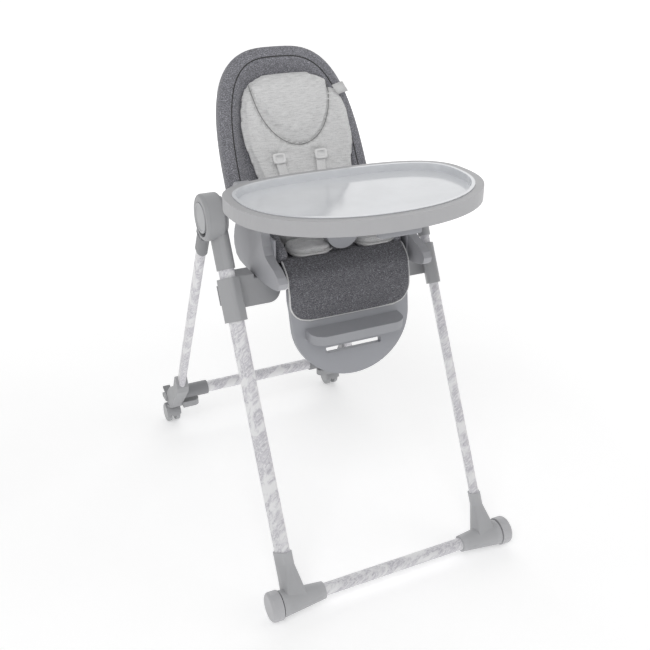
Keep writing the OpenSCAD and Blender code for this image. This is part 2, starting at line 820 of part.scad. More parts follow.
module legrest_panel() {
  back = panel_front - legrest_t;
  lug_x1 = legrest_half - 12.6;
  color("darkgray") on_legrest() difference() {
    union() {
      front_slab(-panel_front, -back) polygon(mirrored_outline(panel_half()));
      both() {
        x_cylinder(lug_x1 - 13, lug_x1, 0, 0, 8);
        translate([lug_x1 - 13, -panel_front + 2, -8]) cube([13, panel_front - 2, 14]);
      }
    }
    // Hollow back, above and below the visible slot
    front_slab(-panel_front + 3.5, 1) {
      translate([0, -(30 + footrest_s - 8) / 2]) square([2 * legrest_half - 34, footrest_s - 38], center = true);
    }
    translate([-slot_half, -panel_front - 1, -slot_s - slot_h / 2]) cube([2 * slot_half, legrest_t + 2, slot_h]);
    both() {
      translate([tab_x[0] - slide_gap, -panel_front - 1, -tab_s - tab_t - slide_gap])
        cube([tab_x[1] - tab_x[0] + 2 * slide_gap, legrest_t + 2, tab_t + 2 * slide_gap]);
      x_cylinder(lug_x1 - 14, lug_x1 + 1, 0, 0, legrest_pin_r + run_gap);
    }
  }
}

module calf_flap() {
  rise = 4;
  r = 40;
  color("dimgray") on_legrest() front_slab(-panel_front - 0.3 - flap_t, -panel_front - 0.3) {
    translate([0, -(flap_len - rise) / 2]) round_rect(2 * flap_half, flap_len + rise, r);
    translate([-flap_half, rise - r]) square([2 * flap_half, r]);
  }
}

// Footrest shelf, close to level, with hooks that go through the panel
module footrest() {
  gap = 0.3;
  back_y = -panel_front - gap;
  color("gray") on_legrest() {
    intersection() {
      translate([0, back_y, -footrest_s]) rotate([legrest_lean + footrest_slope, 0, 0])
        translate([0, 0, -footrest_t]) linear_extrude(footrest_t) intersection() {
          translate([0, 16 - footrest_d / 2]) round_rect(2 * footrest_half, footrest_d + 32, 30);
          translate([-footrest_half, -footrest_d]) square([2 * footrest_half, footrest_d + 12]);
        }
      translate([-footrest_half - 1, back_y - 100, -footrest_s - 60]) cube([2 * footrest_half + 2, 100, 80]);
    }
    both() translate([tab_x[0], back_y - 1, -tab_s - tab_t])
      cube([tab_x[1] - tab_x[0], legrest_t + 9, tab_t]);
  }
}

// ---- Tray ----

// Outline of the tray, drawn inset, wide at tray_y
function tray_outline(inset) = [
  for (t = [0:5:355])
    let (
      c = cos(t),
      s = sin(t),
      n = s < 0 ? front_power : rear_power,
      a = tray_half - inset,
      b = (s < 0 ? tray_front : tray_back) - inset
    )
    [a * sign(c) * pow(abs(c), 2 / n), tray_y + b * sign(s) * pow(abs(s), 2 / n)]
];

module tray_slab(inset, z0, z1) { translate([0, 0, z0]) linear_extrude(z1 - z0) polygon(tray_outline(inset)); }

module tray_base() {
  color("silver") difference() {
    tray_slab(0, tray_z0, tray_z1);
    tray_slab(tray_rim, tray_floor_z + 3, tray_z1 + 1);
    tray_slab(4, tray_z0 - 1, tray_floor_z);
    difference() {
      tray_slab(4, tray_z0 - 1, tray_z1 - 4);
      tray_slab(tray_rim - 4, tray_z0 - 2, tray_z1);
    }
  }
}

module tray_insert() {
  color("white") difference() {
    union() {
      tray_slab(tray_rim + slide_gap, tray_floor_z + 3.3, tray_z1 + 1);
      tray_slab(tray_rim - 3, tray_z1 + 0.3, tray_z1 + 1.8);
    }
    tray_slab(tray_rim + 3.5, tray_floor_z + 6, tray_z1 + 3);
  }
}

// Channel that grips one armrest
module tray_rail() {
  x_mid = pan_half + arm_t / 2;
  half = arm_top_w / 2 + 0.8;
  wall = 4;
  y0 = arm_y0 + 10;
  length = 112;
  z0 = arm_top_z - 12;
  color("gray") translate([x_mid, y0, z0]) difference() {
    translate([-half - wall, 0, 0]) cube([2 * (half + wall), length, tray_floor_z - z0]);
    translate([-half, -1, -1]) cube([2 * half, length + 2, arm_top_z + 0.8 - z0 + 1]);
  }
}

// Post between the child's legs, with a round lower end
module crotch_post() {
  half = 35;
  z0 = seat_z + 10;
  color("darkgray") front_slab(seat_front_y + 2, seat_front_y + 34) {
    translate([-half, z0 + half]) square([2 * half, tray_floor_z - z0 - half]);
    translate([0, z0 + half]) circle(half);
  }
}

module tray_lever() {
  y0 = tray_y - tray_front + 8;
  color("gray") translate([0, y0 + 15, tray_z0 - 14]) linear_extrude(22) round_rect(86, 20, 8);
}

left() front_leg();  // front_leg_left
front_leg();  // front_leg_right
front_crossbar();
left() front_foot();  // front_foot_left
front_foot();  // front_foot_right
both() front_axle();  // front_axles
left() front_wheel();  // front_wheel_left
front_wheel();  // front_wheel_right
left() hub_housing();  // hub_housing_left
hub_housing();  // hub_housing_right
left() hub_cover();  // hub_cover_left
hub_cover();  // hub_cover_right
both() hub_pin();  // hub_pins
both() hub_screws();
left() hub_button();  // hub_button_left
hub_button();  // hub_button_right
left() rear_socket();  // rear_socket_left
rear_socket();  // rear_socket_right
left() rear_leg();  // rear_leg_left
rear_leg();  // rear_leg_right
rear_crossbar();
both() rear_bar_sleeve();  // rear_bar_sleeves
left() rear_foot();  // rear_foot_left
rear_foot();  // rear_foot_right
left() caster_fork();  // caster_fork_left
caster_fork();  // caster_fork_right
left() caster_axle();  // caster_axle_left
caster_axle();  // caster_axle_right
left() caster_wheels();  // caster_wheels_left
caster_wheels();  // caster_wheels_right
left() brake_pedal();  // brake_pedal_left
brake_pedal();  // brake_pedal_right
left() slider();  // slider_left
slider();  // slider_right
left() slider_trigger();  // slider_trigger_left
slider_trigger();  // slider_trigger_right
both() seat_bracket();  // seat_brackets
seat_pan();
left() side_arm();  // side_arm_left
side_arm();  // side_arm_right
both() seat_pin_pair();  // seat_pins
seat_pad();
both() thigh_pad();  // thigh_pads
buckle();
buckle_button();
both() waist_strap();  // waist_straps
backrest_shell();
backrest_pad();
reducer_cushion();
both() shoulder_strap();  // shoulder_straps
both() strap_adjuster();  // strap_adjusters
recline_handle();
legrest_panel();
calf_flap();
footrest();
tray_base();
tray_insert();
both() tray_rail();  // tray_rails
crotch_post();
tray_lever();
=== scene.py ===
"""Baby high chair: soft pieces, materials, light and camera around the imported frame. Metres."""
import json
import math

import bmesh
import bpy
import numpy as np
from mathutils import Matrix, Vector, noise


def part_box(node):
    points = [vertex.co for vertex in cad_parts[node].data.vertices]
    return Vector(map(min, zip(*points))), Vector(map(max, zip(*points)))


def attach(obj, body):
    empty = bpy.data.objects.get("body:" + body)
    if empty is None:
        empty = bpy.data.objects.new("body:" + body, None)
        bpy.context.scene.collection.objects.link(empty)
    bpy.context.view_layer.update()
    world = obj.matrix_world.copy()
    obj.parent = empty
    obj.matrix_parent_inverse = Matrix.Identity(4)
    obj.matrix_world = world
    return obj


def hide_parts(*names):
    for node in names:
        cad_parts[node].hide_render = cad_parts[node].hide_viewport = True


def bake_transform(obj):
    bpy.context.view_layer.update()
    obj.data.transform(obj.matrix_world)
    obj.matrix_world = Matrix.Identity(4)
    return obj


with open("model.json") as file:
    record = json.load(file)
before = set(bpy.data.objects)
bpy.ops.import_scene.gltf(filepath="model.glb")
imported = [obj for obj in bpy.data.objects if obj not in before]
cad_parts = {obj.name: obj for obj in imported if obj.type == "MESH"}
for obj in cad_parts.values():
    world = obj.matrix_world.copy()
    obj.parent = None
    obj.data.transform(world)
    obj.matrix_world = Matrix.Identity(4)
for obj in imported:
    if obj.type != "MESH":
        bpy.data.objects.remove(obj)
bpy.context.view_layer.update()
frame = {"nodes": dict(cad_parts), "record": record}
NODES = frame["nodes"]
JOINTS = {j["name"]: j for j in frame["record"]["behaviour"]["joints"]}
SIDES = {-1: "left", 1: "right"}


# ---- Places, read from the frame ----

class Plane:
    """A leaning sheet's own coordinates: x across, up along it, out in front of it."""

    def __init__(self, origin, up, out):
        self.origin = Vector(origin)
        self.up = Vector(up)
        self.out = Vector(out)

    def at(self, x, up, out):
        return self.origin + Vector((x, 0, 0)) + self.up * up + self.out * out


def back_plane():
    up = Vector(JOINTS["recline_squeeze"]["axis"])
    return Plane(JOINTS["recline"]["pos_m"], up, (0, -up.z, up.y))


def legrest_plane():
    out = Vector(JOINTS["footrest_pull"]["axis"])
    return Plane(JOINTS["legrest_tilt"]["pos_m"], (0, out.z, -out.y), out)


BACK = back_plane()
LEGREST = legrest_plane()
PAD_LOW, PAD_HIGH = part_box("seat_pad")
SEAT_TOP = PAD_HIGH[2]
SEAT_FRONT = PAD_LOW[1]
SEAT_REAR = PAD_HIGH[1]
SEAT_MIDDLE = (SEAT_FRONT + SEAT_REAR) / 2

# The back, up from the recline hinge: a straight lower part, a flare, and an arch
BACK_H = 0.425
BACK_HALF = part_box("backrest_pad")[1][0]
BACK_ARCH = 0.335
BACK_POWER = 0.642
BACK_LOW_HALF = 0.134
BACK_FOOT = 0.022
FLARE_FOOT = 0.055
LINING_OUT = 0.006
LINING_MIDDLE = 0.21

# The soft parts sit a little to one side of the middle
REDUCER_SHIFT = 0.013
THIGH_SHIFT = 0.009
HARNESS_SHIFT = 0.002

REDUCER_TOP = BACK_H - 0.050
REDUCER_LOW = 0.058
REDUCER_BEND = 0.506 * BACK_H
REDUCER_HALF = 0.80 * BACK_HALF
REDUCER_POWER = 0.667
REDUCER_BACK = 0.0085
REDUCER_FACE = 0.021

HARNESS_SPACING = 0.049
SLIT_UP = 0.188
STRAP_WIDTH = 0.021
STRAP_THICK = 0.0018
CROTCH_WIDTH = 0.030

FLAP_HALF = 0.1335
FLAP_END = 0.083
FLAP_CORNER = 0.040
FLAP_THICK = 0.0042


# ---- Small tools ----

def smooth(a, b, t):
    """0 below a, 1 above b, smooth between."""
    k = min(1.0, max(0.0, (t - a) / (b - a)))
    return k * k * (3 - 2 * k)


def hump(distance, width):
    """1 at no distance, falling away over about the width."""
    return math.exp(-(distance / width) ** 2)


def squircle(angle, power):
    """Point at an angle of a unit circle squared off by a power below 1."""
    c, s = math.cos(angle), math.sin(angle)
    return math.copysign(abs(c) ** power, c), math.copysign(abs(s) ** power, s)


def mesh_object(name, points, faces):
    mesh = bpy.data.meshes.new(name)
    mesh.from_pydata([tuple(p) for p in points], [], faces)
    mesh.validate()
    obj = bpy.data.objects.new(name, mesh)
    bpy.context.scene.collection.objects.link(obj)
    return obj


def shade_smooth(obj):
    obj.data.polygons.foreach_set("use_smooth", [True] * len(obj.data.polygons))


def edit_mesh(obj, change):
    """Runs one bmesh change on an object's mesh."""
    work = bmesh.new()
    work.from_mesh(obj.data)
    change(work)
    work.to_mesh(obj.data)
    work.free()


def face_outward(obj):
    edit_mesh(obj, lambda work: bmesh.ops.recalc_face_normals(work, faces=work.faces))


def merge_doubles(obj, distance=1e-5):
    edit_mesh(obj, lambda work: bmesh.ops.remove_doubles(work, verts=work.verts, dist=distance))


def apply_modifiers(obj):
    graph = bpy.context.evaluated_depsgraph_get()
    mesh = bpy.data.meshes.new_from_object(obj.evaluated_get(graph))
    old = obj.data
    obj.modifiers.clear()
    obj.data = mesh
    bpy.data.meshes.remove(old)


def subdivide(obj):
    modifier = obj.modifiers.new("Subdivision", "SUBSURF")
    modifier.levels = 1
    modifier.render_levels = 1
    apply_modifiers(obj)
    shade_smooth(obj)


def loft(name, rings, caps=True):
    """A skin through closed rings of points; every ring has the same number of points."""
    count = len(rings[0])
    points = [p for ring in rings for p in ring]
    faces = []
    for k in range(len(rings) - 1):
        for i in range(count):
            a = k * count + i
            b = k * count + (i + 1) % count
            faces.append((a, b, b + count, a + count))
    if caps:
        faces.append(tuple(range(count)))
        faces.append(tuple(range((len(rings) - 1) * count, len(rings) * count)))
    obj = mesh_object(name, points, faces)
    face_outward(obj)
    shade_smooth(obj)
    return obj


def tube(name, path, radius, closed=False, sides=8):
    """A round cord of mesh along a path."""
    rings = []
    count = len(path)
    for k, p in enumerate(path):
        before = path[(k - 1) % count] if closed or k > 0 else p
        after = path[(k + 1) % count] if closed or k < count - 1 else p
        along = (after - before).normalized()
        side = along.cross(Vector((0.3, 1, 0.2))).normalized()
        up = side.cross(along)
        rings.append([
            p + (side * math.cos(a) + up * math.sin(a)) * radius
            for a in (2 * math.pi * i / sides for i in range(sides))
        ])
    if closed:
        rings.append(rings[0])
    obj = loft(name, rings, caps=not closed)
    if closed:
        merge_doubles(obj)
    return obj


def ribbon(name, path, across, thick=STRAP_THICK, sides=12):
    """A flat strap along a path, with round edges."""
    rings = []
    side = across.normalized() * (across.length / 2)
    for k, p in enumerate(path):
        along = (path[min(len(path) - 1, k + 1)] - path[max(0, k - 1)]).normalized()
        normal = along.cross(across).normalized()
        ring = []
        for i in range(sides):
            t = 2 * math.pi * i / sides
            flat = math.copysign(abs(math.cos(t)) ** 0.35, math.cos(t))
            ring.append(p + side * flat + normal * (thick / 2 * math.sin(t)))
        rings.append(ring)
    return loft(name, rings)


def pillow(name, center, half_x, half_y, height, power, pinch=0.0, count=56):
    """A flat-bottomed closed pad, ready to be swollen; pinch draws its middle in."""
    rings = []
    for grow, z in ((0.90, 0.0), (1.0, 0.18), (1.0, 0.62), (0.88, 0.95), (0.6, 1.0), (0.25, 1.0)):
        ring = []
        for x, y in rounded_loop(half_x * grow, half_y * grow, power, count):
            waist = 1 - pinch * math.exp(-(x / half_x) ** 2 * 6)
            ring.append(Vector(center) + Vector((x, y * waist, z * height)))
        rings.append(ring)
    return loft(name, rings)


def coordinates(obj):
    flat = np.empty(len(obj.data.vertices) * 3)
    obj.data.vertices.foreach_get("co", flat)
    return flat.reshape(-1, 3)


def swell(obj, pressure, frames=20):
    """Blows the mesh up as cloth under pressure, without weight."""
    cloth = obj.modifiers.new("Cloth", "CLOTH")
    settings = cloth.settings
    settings.quality = 5
    settings.mass = 0.3
    settings.use_pressure = True
    settings.uniform_pressure_force = pressure
    settings.effector_weights.gravity = 0
    cloth.point_cache.frame_start = 1
    cloth.point_cache.frame_end = frames
    scene = bpy.context.scene
    for step in range(1, frames + 1):
        scene.frame_set(step)
    apply_modifiers(obj)
    scene.frame_set(1)


def inflate(obj, pressure, cap, voxel=0.005):
    """Swells a closed pad by cloth simulation; no point moves further than the cap."""
    remesh = obj.modifiers.new("Remesh", "REMESH")
    remesh.mode = "VOXEL"
    remesh.voxel_size = voxel
    apply_modifiers(obj)
    start = coordinates(obj)
    swell(obj, pressure)
    travel = coordinates(obj) - start
    length = np.linalg.norm(travel, axis=1)
    scale = np.minimum(1.0, cap / np.maximum(length, 1e-9))
    final = start + travel * scale[:, None]
    obj.data.vertices.foreach_set("co", final.ravel())
    obj.data.update()
    subdivide(obj)


def dress(piece, body, material):
    """Gives a rigid-riding piece its finish and its body."""
    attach(piece, body)
    paint(piece, material)


# ---- Outlines of the soft parts: loops of (x, up) from the bottom right over the top ----

def mirrored(right, low_half, low):
    """Closes a right half outline with its mirror image and a straight foot."""
    left = [(-x, up) for x, up in reversed(right[:-1])]
    foot = [(low_half * k / 6, low) for k in range(-5, 6)]
    return right + left + foot


def arch(half, foot, height, power, steps):
    """Right half of a rounded arch, from its side to its top."""
    points = []
    for k in range(steps + 1):
        t = math.pi / 2 * k / steps
        points.append((half * max(0.0, math.cos(t)) ** power, foot + height * math.sin(t) ** power))
    return points


def back_outline(inset, steps=26):
    half = BACK_HALF - inset
    low_half = BACK_LOW_HALF - inset
    low = BACK_FOOT + inset * 0.4
    arch_foot = BACK_H - BACK_ARCH
    right = [(low_half, low)]
    for k in range(1, 8):
        u = k / 8
        flare = low_half + (half - low_half) * u * u * (3 - 2 * u)
        right.append((flare, FLARE_FOOT + (arch_foot - FLARE_FOOT) * u))
    right += arch(half, arch_foot, BACK_ARCH - inset, BACK_POWER, steps)
    return mirrored(right, low_half, low)


def reducer_outline(inset):
    low = REDUCER_LOW + inset
    ups = (low, low + 0.03, low + 0.065, low + 0.10, REDUCER_BEND - 0.026)
    shares = (0.63, 0.665, 0.70, 0.74, 0.778)
    right = [(share * BACK_HALF - inset, up) for share, up in zip(shares, ups)]
    height = REDUCER_TOP - inset - REDUCER_BEND
    low_half = right[0][0]
    right += arch(REDUCER_HALF - inset, REDUCER_BEND, height, REDUCER_POWER, 18)
    return mirrored(right, low_half, low)


def rounded_loop(half_x, half_y, power, count):
    angles = (2 * math.pi * k / count for k in range(count))
    return [(x * half_x, y * half_y) for x, y in (squircle(a, power) for a in angles)]


def scaled_loop(loop, scale, center):
    return [(x * scale, center + (up - center) * scale) for x, up in loop]


# ---- Back cover ----

# Section of the padded rim, from behind over the rim and down to the lining: (inset, out)
COVER_PROFILE = (
    (0.006, -0.0036), (0.0, 0.002), (0.0, 0.012), (0.001, 0.020), (0.005, 0.0265),
    (0.012, 0.0300), (0.020, 0.0308), (0.0245, 0.0296), (0.0265, 0.0286), (0.029, 0.0292),
    (0.034, 0.0265), (0.041, 0.0190), (0.049, 0.0115), (0.060, 0.0072), (0.075, 0.0058),
)
RIM_SEAM_INSET = 0.0262
RIM_SEAM_OUT = 0.0292


def cover_point(x, up, out):
    """A point of the cover's section; the rim dies away towards the foot of the back."""
    corner = up + max(0.0, abs(x) - 0.09) * 0.8
    lip = smooth(BACK_FOOT + 0.012, BACK_FOOT + 0.065, corner)
    return BACK.at(x, up, out if out < LINING_OUT else LINING_OUT + (out - LINING_OUT) * lip)


def back_cover():
    """Padded cover of the back: side wall, round rim, and a lining that sinks in."""
    rings = [
        [cover_point(x, up, out) for x, up in back_outline(inset)]
        for inset, out in COVER_PROFILE
    ]
    inner = back_outline(COVER_PROFILE[-1][0])
    for scale in (0.8, 0.55, 0.3, 0.1):
        rings.append([
            BACK.at(x, up, 0.0055 + 0.0012 * math.sin(9 * x + 14 * up))
            for x, up in scaled_loop(inner, scale, LINING_MIDDLE)
        ])
    cover = loft("back_cover", rings)
    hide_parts("backrest_pad")
    dress(cover, "back", fabric_dark())


def back_piping():
    """Dark seam along the top of the rim."""
    loop = [p for p in back_outline(RIM_SEAM_INSET, 40) if p[1] > 0.06]
    path = [BACK.at(x, up, RIM_SEAM_OUT) for x, up in loop]
    dress(tube("back_piping", path, 0.0012), "back", thread(0.055))


# ---- Reducer cushion ----

def headrest_seam():
    """Points (x, up) of the U seam that parts the head pillow from the body of the cushion."""
    half = 0.089
    top, bottom = 0.343, 0.205
    points = []
    for k in range(33):
        t = math.pi * (k / 32 - 0.5)
        rise = abs(math.sin(t)) ** 1.9
        width = half * math.sqrt(1 - (1 - rise) ** 2.1)
        points.append((math.copysign(width, t), bottom + (top - bottom) * rise))
    return points


def reducer_point(x, up, out):
    """A point of the cushion; its sides climb the slopes of the back's lining."""
    x += REDUCER_SHIFT
    return BACK.at(x, up, out + 0.021 * smooth(0.092, 0.142, abs(x)))


def reducer_cushion():
    center = (REDUCER_LOW + REDUCER_TOP) / 2
    inner = reducer_outline(0.012)
    scales = (0.3, 0.55, 0.75, 0.9)
    behind = [(scaled_loop(inner, scale, center), REDUCER_BACK) for scale in scales]
    edge = [
        (reducer_outline(inset), out)
        for inset, out in ((0.010, REDUCER_BACK), (0.003, 0.012), (0.001, 0.017), (0.008, 0.0205))
    ]
    face = [(scaled_loop(inner, scale, center), REDUCER_FACE) for scale in reversed(scales)]
    rings = [[reducer_point(x, up, out) for x, up in loop] for loop, out in behind + edge + face]
    cushion = loft("reducer_soft", rings)
    inflate(cushion, 3.5, 0.009)
    quilt_reducer(cushion)
    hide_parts("reducer_cushion")
    dress(cushion, "back", fabric_light())


def slit_push(dx, du):
    """How deep a strap slit, and the creases that fan out from it, press at an offset."""
    slit = 0.0075 * math.exp(-(dx / 0.017) ** 2 - (du / 0.006) ** 2)
    creases = 0.0012 * hump(math.hypot(dx, du), 0.030) * math.cos(7 * math.atan2(du, dx))
    return slit + creases


def quilt_reducer(cushion):
    """Presses the U seam, the strap slits and soft creases into the swollen cushion."""
    seam = np.array([(x + REDUCER_SHIFT, up) for x, up in headrest_seam()])
    slits = [HARNESS_SHIFT + side * HARNESS_SPACING for side in SIDES]
    for vertex in cushion.data.vertices:
        local = vertex.co - BACK.origin
        x, up, out = local.x, local.dot(BACK.up), local.dot(BACK.out)
        if out < 0.016:
            continue
        near = math.sqrt(float(((seam - (x, up)) ** 2).sum(axis=1).min()))
        push = 0.0062 * hump(near, 0.0055) - 0.0030 * hump(near, 0.022)
        push += sum(slit_push(x - slit, up - SLIT_UP) for slit in slits)
        push += 0.0010 * noise.noise(Vector((x * 26, up * 26, 3.1)))
        vertex.co -= BACK.out * push
    cushion.data.update()


def reducer_head():
    """The pillow inside the U seam, a little prouder than the cushion round it."""
    seam = headrest_seam()
    crown = [(x, up) for x, up in reducer_outline(0.011) if up > seam[0][1] and abs(x) < 0.10]
    section = (
        (0.97, 0.022), (1.0, 0.027), (1.0, 0.0305), (0.965, 0.0335), (0.7, 0.0345), (0.35, 0.0345),
    )
    rings = []
    for scale, out in section:
        rings.append([
            BACK.at(x + REDUCER_SHIFT, up, out - 0.009 * smooth(0.335, 0.375, up))
            for x, up in scaled_loop(seam + crown, scale, 0.285)
        ])
    head = loft("reducer_head", rings)
    inflate(head, 3.5, 0.008, voxel=0.004)
    dress(head, "back", fabric_light())
    path = [
        BACK.at(x * 1.01 + REDUCER_SHIFT, up - 0.001, 0.0325 - 0.006 * smooth(0.31, 0.345, up))
        for x, up in seam
    ]
    dress(tube("head_piping", path, 0.0009), "back", thread(0.30))


def reducer_tag():
    """Small blank fabric tab sewn into the cushion's upper right edge."""
    x0, up0 = REDUCER_SHIFT + 0.094, 0.322
    length, height, thick = 0.026, 0.022, BACK.out * 0.0012
    rings = []
    for k in range(4):
        t = k / 3
        lift = 0.0435 + 0.002 * math.sin(2.5 * t)
        x, up = x0 + length * t, up0 + 0.006 * t
        a = BACK.at(x, up, lift)
        b = BACK.at(x + 0.009, up - height, lift)
        rings.append([a, b, b + thick, a + thick])
    tag = loft("reducer_tag", rings)
    dress(tag, "back", webbing_material("tag_fabric", 0.74))


# ---- Harness ----

def shoulder_strap(side):
    """Strap from its slit down the cushion, drawing in towards the buckle."""
    x = HARNESS_SHIFT + side * HARNESS_SPACING
    path = []
    for k in range(22):
        t = k / 21
        out = 0.022 + 0.014 * smooth(0.0, 0.12, t) + 0.0015 * math.sin(3 * t)
        path.append(BACK.at(x - side * 0.012 * t, 0.191 - 0.112 * t, out))
    strap = ribbon("shoulder_strap_" + SIDES[side], path, Vector((STRAP_WIDTH, 0, 0)))
    dress(strap, "back", webbing_material())
    return strap


# Section of a strap's slide, from behind over its rim into its well: (width, height, out)
SLIDE_SECTION = (
    (0.0260, 0.0200, 0.0375), (0.0285, 0.0225, 0.0390), (0.0285, 0.0225, 0.0415),
    (0.0262, 0.0202, 0.0430), (0.0190, 0.0132, 0.0431), (0.0178, 0.0120, 0.0405),
)


def adjuster(side):
    """Moulded slide on a shoulder strap: a rounded frame round a shallow well."""
    x = HARNESS_SHIFT + side * 0.0485
    rings = [
        [BACK.at(x + dx, 0.177 + du, out) for dx, du in rounded_loop(width / 2, height / 2, 0.45, 24)]
        for width, height, out in SLIDE_SECTION
    ]
    slide = loft("adjuster_" + SIDES[side], rings)
    dress(slide, "back", slot_material("harness_clip"))
    return slide


def waist_strap(side):
    """Waist strap from under the hip padding to the buckle."""
    low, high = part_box("waist_straps")
    y = (low[1] + high[1]) / 2
    start, end = side * 0.104, side * 0.022
    path = []
    for k in range(13):
        t = k / 12
        path.append(Vector((start + (end - start) * t, y, SEAT_TOP + 0.002 + 0.016 * smooth(0.3, 1.0, t))))
    strap = ribbon("waist_strap_" + SIDES[side], path, Vector((0, STRAP_WIDTH, 0)))
    dress(strap, "carriage", webbing_material())
    return strap


def buckle_web():
    """Crotch strap from the seat pad up to the buckle."""
    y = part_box("buckle")[0][1] - 0.013
    path = [Vector((0, y + 0.010 * t, SEAT_TOP + 0.001 + 0.012 * t)) for t in (0, 0.4, 0.8, 1)]
    web = ribbon("crotch_web", path, Vector((CROTCH_WIDTH, 0, 0)))
    dress(web, "carriage", webbing_material())


# ---- Seat padding ----

def seat_cushion():
    margin = 0.004
    half_x = (PAD_HIGH[0] - PAD_LOW[0]) / 2 - margin
    half_y = (SEAT_REAR - SEAT_FRONT) / 2 - margin
    height = SEAT_TOP - PAD_LOW[2] - 0.005
    cushion = pillow("seat_cushion", (0, SEAT_MIDDLE, PAD_LOW[2]), half_x, half_y, height, 0.25)
    inflate(cushion, 3.0, 0.004, voxel=0.006)
    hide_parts("seat_pad")
    dress(cushion, "carriage", fabric_dark())


def thigh_pad(side):
    """Front lobe of the reducer's seat, with piping round its edge."""
    low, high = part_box("thigh_pads")
    half_x = 0.043 if side < 0 else 0.041
    half_y = 0.036
    place = Vector((THIGH_SHIFT + side * 0.072, (low[1] + high[1]) / 2 - 0.006, SEAT_TOP))
    lifted = place + Vector((0, 0, 0.001))
    pad = pillow("thigh_pad_" + SIDES[side], lifted, half_x, half_y, 0.022, 0.62, 0.06)
    inflate(pad, 4.0, 0.007)
    crease_pad(pad, place, half_x)
    dress(pad, "carriage", fabric_light())
    seam = [
        place + Vector((x, y, 0.0125))
        for x, y in rounded_loop(half_x + 0.0035, half_y + 0.0035, 0.62, 64)
    ]
    piping = tube(pad.name + "_piping", seam, 0.0014, closed=True)
    dress(piping, "carriage", thread(0.50))
    return pad


def crease_pad(pad, center, half_x):
    """A shallow sewn channel across the pad, and small folds."""
    for vertex in pad.data.vertices:
        local = vertex.co - center
        if local.z < 0.012:
            continue
        channel = hump(local.y - 0.010 + 0.2 * abs(local.x), 0.005)
        fold = noise.noise(vertex.co * 30)
        vertex.co.z -= 0.0032 * channel * smooth(0, 0.3, 1 - abs(local.x) / half_x)
        vertex.co.z += 0.0012 * fold
    pad.data.update()


def hip_pad(side):
    """Rear lobe of the reducer's seat, that the waist strap comes out under."""
    low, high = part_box("waist_straps")
    center = (THIGH_SHIFT + side * 0.073, (low[1] + high[1]) / 2 + 0.002, SEAT_TOP + 0.0025)
    pad = pillow("hip_pad_" + SIDES[side], center, 0.036, 0.027, 0.031, 0.55)
    inflate(pad, 4.0, 0.008)
    dress(pad, "carriage", fabric_light())


def seat_bolster(side):
    """Padded side of the seat cover, between the thigh padding and the side arm."""
    center = (side * 0.128, SEAT_MIDDLE, SEAT_TOP - 0.004)
    pad = pillow("seat_bolster_" + SIDES[side], center, 0.0165, 0.062, 0.034, 0.6)
    for vertex in pad.data.vertices:
        climb = smooth(SEAT_FRONT, SEAT_REAR + 0.01, vertex.co.y)
        if vertex.co.z > SEAT_TOP + 0.004:
            vertex.co.z += 0.030 * climb - 0.008 * (1 - climb)
    inflate(pad, 3.0, 0.003, voxel=0.004)
    dress(pad, "carriage", fabric_dark())


# ---- Calf flap ----

def below_hinge(p):
    """Distance of a point below the leg rest's hinge, down the panel."""
    return -(p - LEGREST.origin).dot(LEGREST.up)


def flap_half(down):
    """Half width of the flap at a distance below the hinge, with round lower corners."""
    straight = FLAP_END - FLAP_CORNER
    if down < straight:
        return FLAP_HALF
    t = min(1.0, (down - straight) / FLAP_CORNER)
    return FLAP_HALF - FLAP_CORNER * (1 - math.sqrt(max(0.0, 1 - t * t)))


def flap_path():
    """Centre line of the flap from the seat's top edge down over the leg rest."""
    top = Vector((0, SEAT_FRONT + 0.012, SEAT_TOP + 0.003))
    lip = Vector((0, SEAT_FRONT - 0.014, SEAT_TOP - 0.004))
    hang = LEGREST.at(0, -0.006, 0.0235)
    hem = LEGREST.at(0, -FLAP_END, 0.0225)
    points = []
    for k in range(8):
        t = k / 8
        points.append(top.lerp(lip, t) + Vector((0, 0, 0.004 * math.sin(math.pi * t))))
    for k in range(8):
        t = k / 8
        points.append(lip.lerp(hang, t) + Vector((0, -0.006 * math.sin(math.pi * t), 0)))
    for k in range(15):
        t = k / 14
        points.append(hang.lerp(hem, t) + LEGREST.out * 0.0015 * math.sin(6 * t))
    return points


def flap_ring(path, k, columns=34):
    """The flap's section across one point of its path: front face out, back face home."""
    p = path[k]
    down = below_hinge(p)
    along = (path[min(k + 1, len(path) - 1)] - path[max(k - 1, 0)]).normalized()
    normal = Vector((1, 0, 0)).cross(along).normalized()
    if normal.y > 0:
        normal = -normal
    front, back = [], []
    for i in range(columns + 1):
        u = 2 * i / columns - 1
        puff = 1 - 0.75 * smooth(0.93, 1.0, abs(u))
        wave = 0.0008 * noise.noise(Vector((u * 3, down * 40, 5)))
        middle = Vector((u * flap_half(down), 0, 0)) + p + normal * wave
        half_thick = normal * (FLAP_THICK * puff / 2)
        front.append(middle + half_thick)
        back.append(middle - half_thick)
    return front + list(reversed(back))


def bend_with_legrest(piece):
    """Bakes a piece's placement into its mesh."""
    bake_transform(piece)


def calf_flap():
    """Cover flap that hangs from the seat's front edge over the leg rest."""
    path = flap_path()
    flap = loft("flap_soft", [flap_ring(path, k) for k in range(len(path))])
    subdivide(flap)
    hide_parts("calf_flap")
    bend_with_legrest(flap)
    # Painted shade: the flap is the same dark melange as the back and seat, set darker (level 1.85 against
    # 3.0) as a shaded copy of the cloth
    paint(flap, fabric_dark("flap_melange_shaded", 1.85))
    flap_binding(path)


def flap_edge(path, side):
    """Points down one side edge of the flap, from where it leaves the seat."""
    return [
        p + Vector((side * (flap_half(below_hinge(p)) + 0.0003), 0, 0)) - LEGREST.out * 0.0015
        for p in path[4:]
    ]


